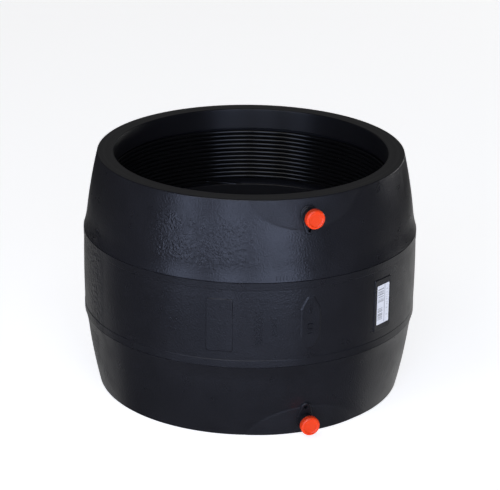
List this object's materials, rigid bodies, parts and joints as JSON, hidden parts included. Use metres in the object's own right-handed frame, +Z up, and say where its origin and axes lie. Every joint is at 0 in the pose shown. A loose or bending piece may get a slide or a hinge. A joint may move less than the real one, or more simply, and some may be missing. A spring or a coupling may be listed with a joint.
{
  "type": "electrofusion coupler",
  "caption": "Barrel-shaped black polyethylene electrofusion coupler with equal sockets, wound heating wire, capped terminals and fusion indicators.",
  "frame": {"origin": "centre of the lower end face, on the bore's axis", "axes": "+Z up along the bore's axis; both terminals face -Y; +X to the right of the terminals"},
  "size_m": [0.3889, 0.3975, 0.28],
  "materials": {
    "black_pe": "as moulded, fine orange peel",
    "wire_coating": "smooth extruded coating",
    "resistance_wire": "drawn wire",
    "terminal_brass": "turned",
    "shroud_black": "glossy moulded",
    "indicator_black": "moulded",
    "cap_orange": "glossy moulded",
    "label_white": "printed synthetic label"
  },
  "bodies": {
    "coupler": {"coupler_body": "black_pe", "winding_coating_upper": "wire_coating", "winding_coating_lower": "wire_coating", "bridge_coating": "wire_coating", "heating_wire_upper": "resistance_wire", "heating_wire_lower": "resistance_wire", "bridge_wire": "resistance_wire", "lead_wire_upper": "resistance_wire", "lead_wire_lower": "resistance_wire", "terminal_pin_upper": "terminal_brass", "terminal_pin_lower": "terminal_brass", "terminal_shroud_upper": "shroud_black", "terminal_shroud_lower": "shroud_black", "barcode_label": "label_white"},
    "cap_upper": {"terminal_cap_upper": "cap_orange"},
    "cap_lower": {"terminal_cap_lower": "cap_orange"},
    "indicator_upper": {"fusion_indicator_upper": "indicator_black"},
    "indicator_lower": {"fusion_indicator_lower": "indicator_black"}
  },
  "joints": [
    {"name": "cap_upper_pull", "type": "slide", "parent": "coupler", "child": "cap_upper", "axis": [0, -1, 0], "range_m": [0, 0.05]},
    {"name": "cap_lower_pull", "type": "slide", "parent": "coupler", "child": "cap_lower", "axis": [0, -1, 0], "range_m": [0, 0.05]},
    {"name": "indicator_upper_rise", "type": "slide", "parent": "coupler", "child": "indicator_upper", "axis": [0, -1, 0], "range_m": [0, 0.005]},
    {"name": "indicator_lower_rise", "type": "slide", "parent": "coupler", "child": "indicator_lower", "axis": [0, -1, 0], "range_m": [0, 0.005]}
  ]
}
